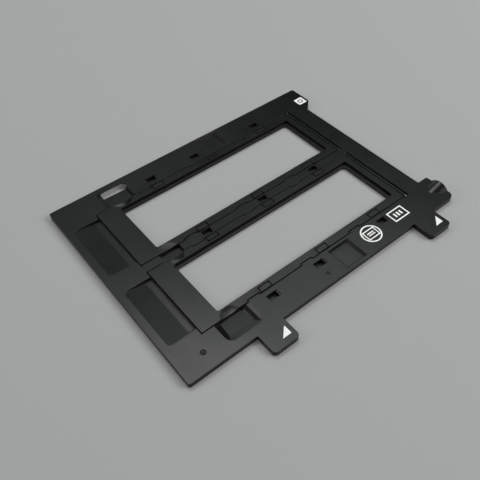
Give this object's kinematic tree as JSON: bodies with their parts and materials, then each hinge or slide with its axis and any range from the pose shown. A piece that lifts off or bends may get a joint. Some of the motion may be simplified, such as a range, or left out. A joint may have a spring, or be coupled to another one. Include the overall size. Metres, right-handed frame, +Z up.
{
  "type": "film scanning holder",
  "caption": "Flat black holder plate with long film windows, each under a hinged cover frame, and locating tabs on its front edge.",
  "frame": {"origin": "bottom centre of the whole holder's box, on the plane that the feet stand on", "axes": "+X along the film from the entry end to the hinge end, +Y across the lanes away from the tabbed edge, +Z up"},
  "size_m": [0.2902, 0.2336, 0.0104],
  "materials": {
    "black_plastic": "fine matt texture, soft sheen",
    "pin_steel": "plain drawn wire",
    "white_ink": "matt white print"
  },
  "bodies": {
    "base": {"base_frame": "black_plastic", "front_hinge_pin": "pin_steel", "back_hinge_pin": "pin_steel", "front_left_foot": "black_plastic", "front_right_foot": "black_plastic", "back_left_foot": "black_plastic", "back_right_foot": "black_plastic", "left_arrow_mark": "white_ink", "right_arrow_mark": "white_ink", "round_mark": "white_ink", "framed_mark": "white_ink", "square_mark": "white_ink"},
    "front_cover": {"front_cover": "black_plastic"},
    "back_cover": {"back_cover": "black_plastic"}
  },
  "joints": [
    {"name": "front_cover_hinge", "type": "hinge", "parent": "base", "child": "front_cover", "pos_m": [0.1132, -0.03195, 0.00415], "axis": [0, 1, 0], "range_deg": [0, 110]},
    {"name": "back_cover_hinge", "type": "hinge", "parent": "base", "child": "back_cover", "pos_m": [0.1132, 0.05145, 0.00415], "axis": [0, 1, 0], "range_deg": [0, 110]}
  ]
}
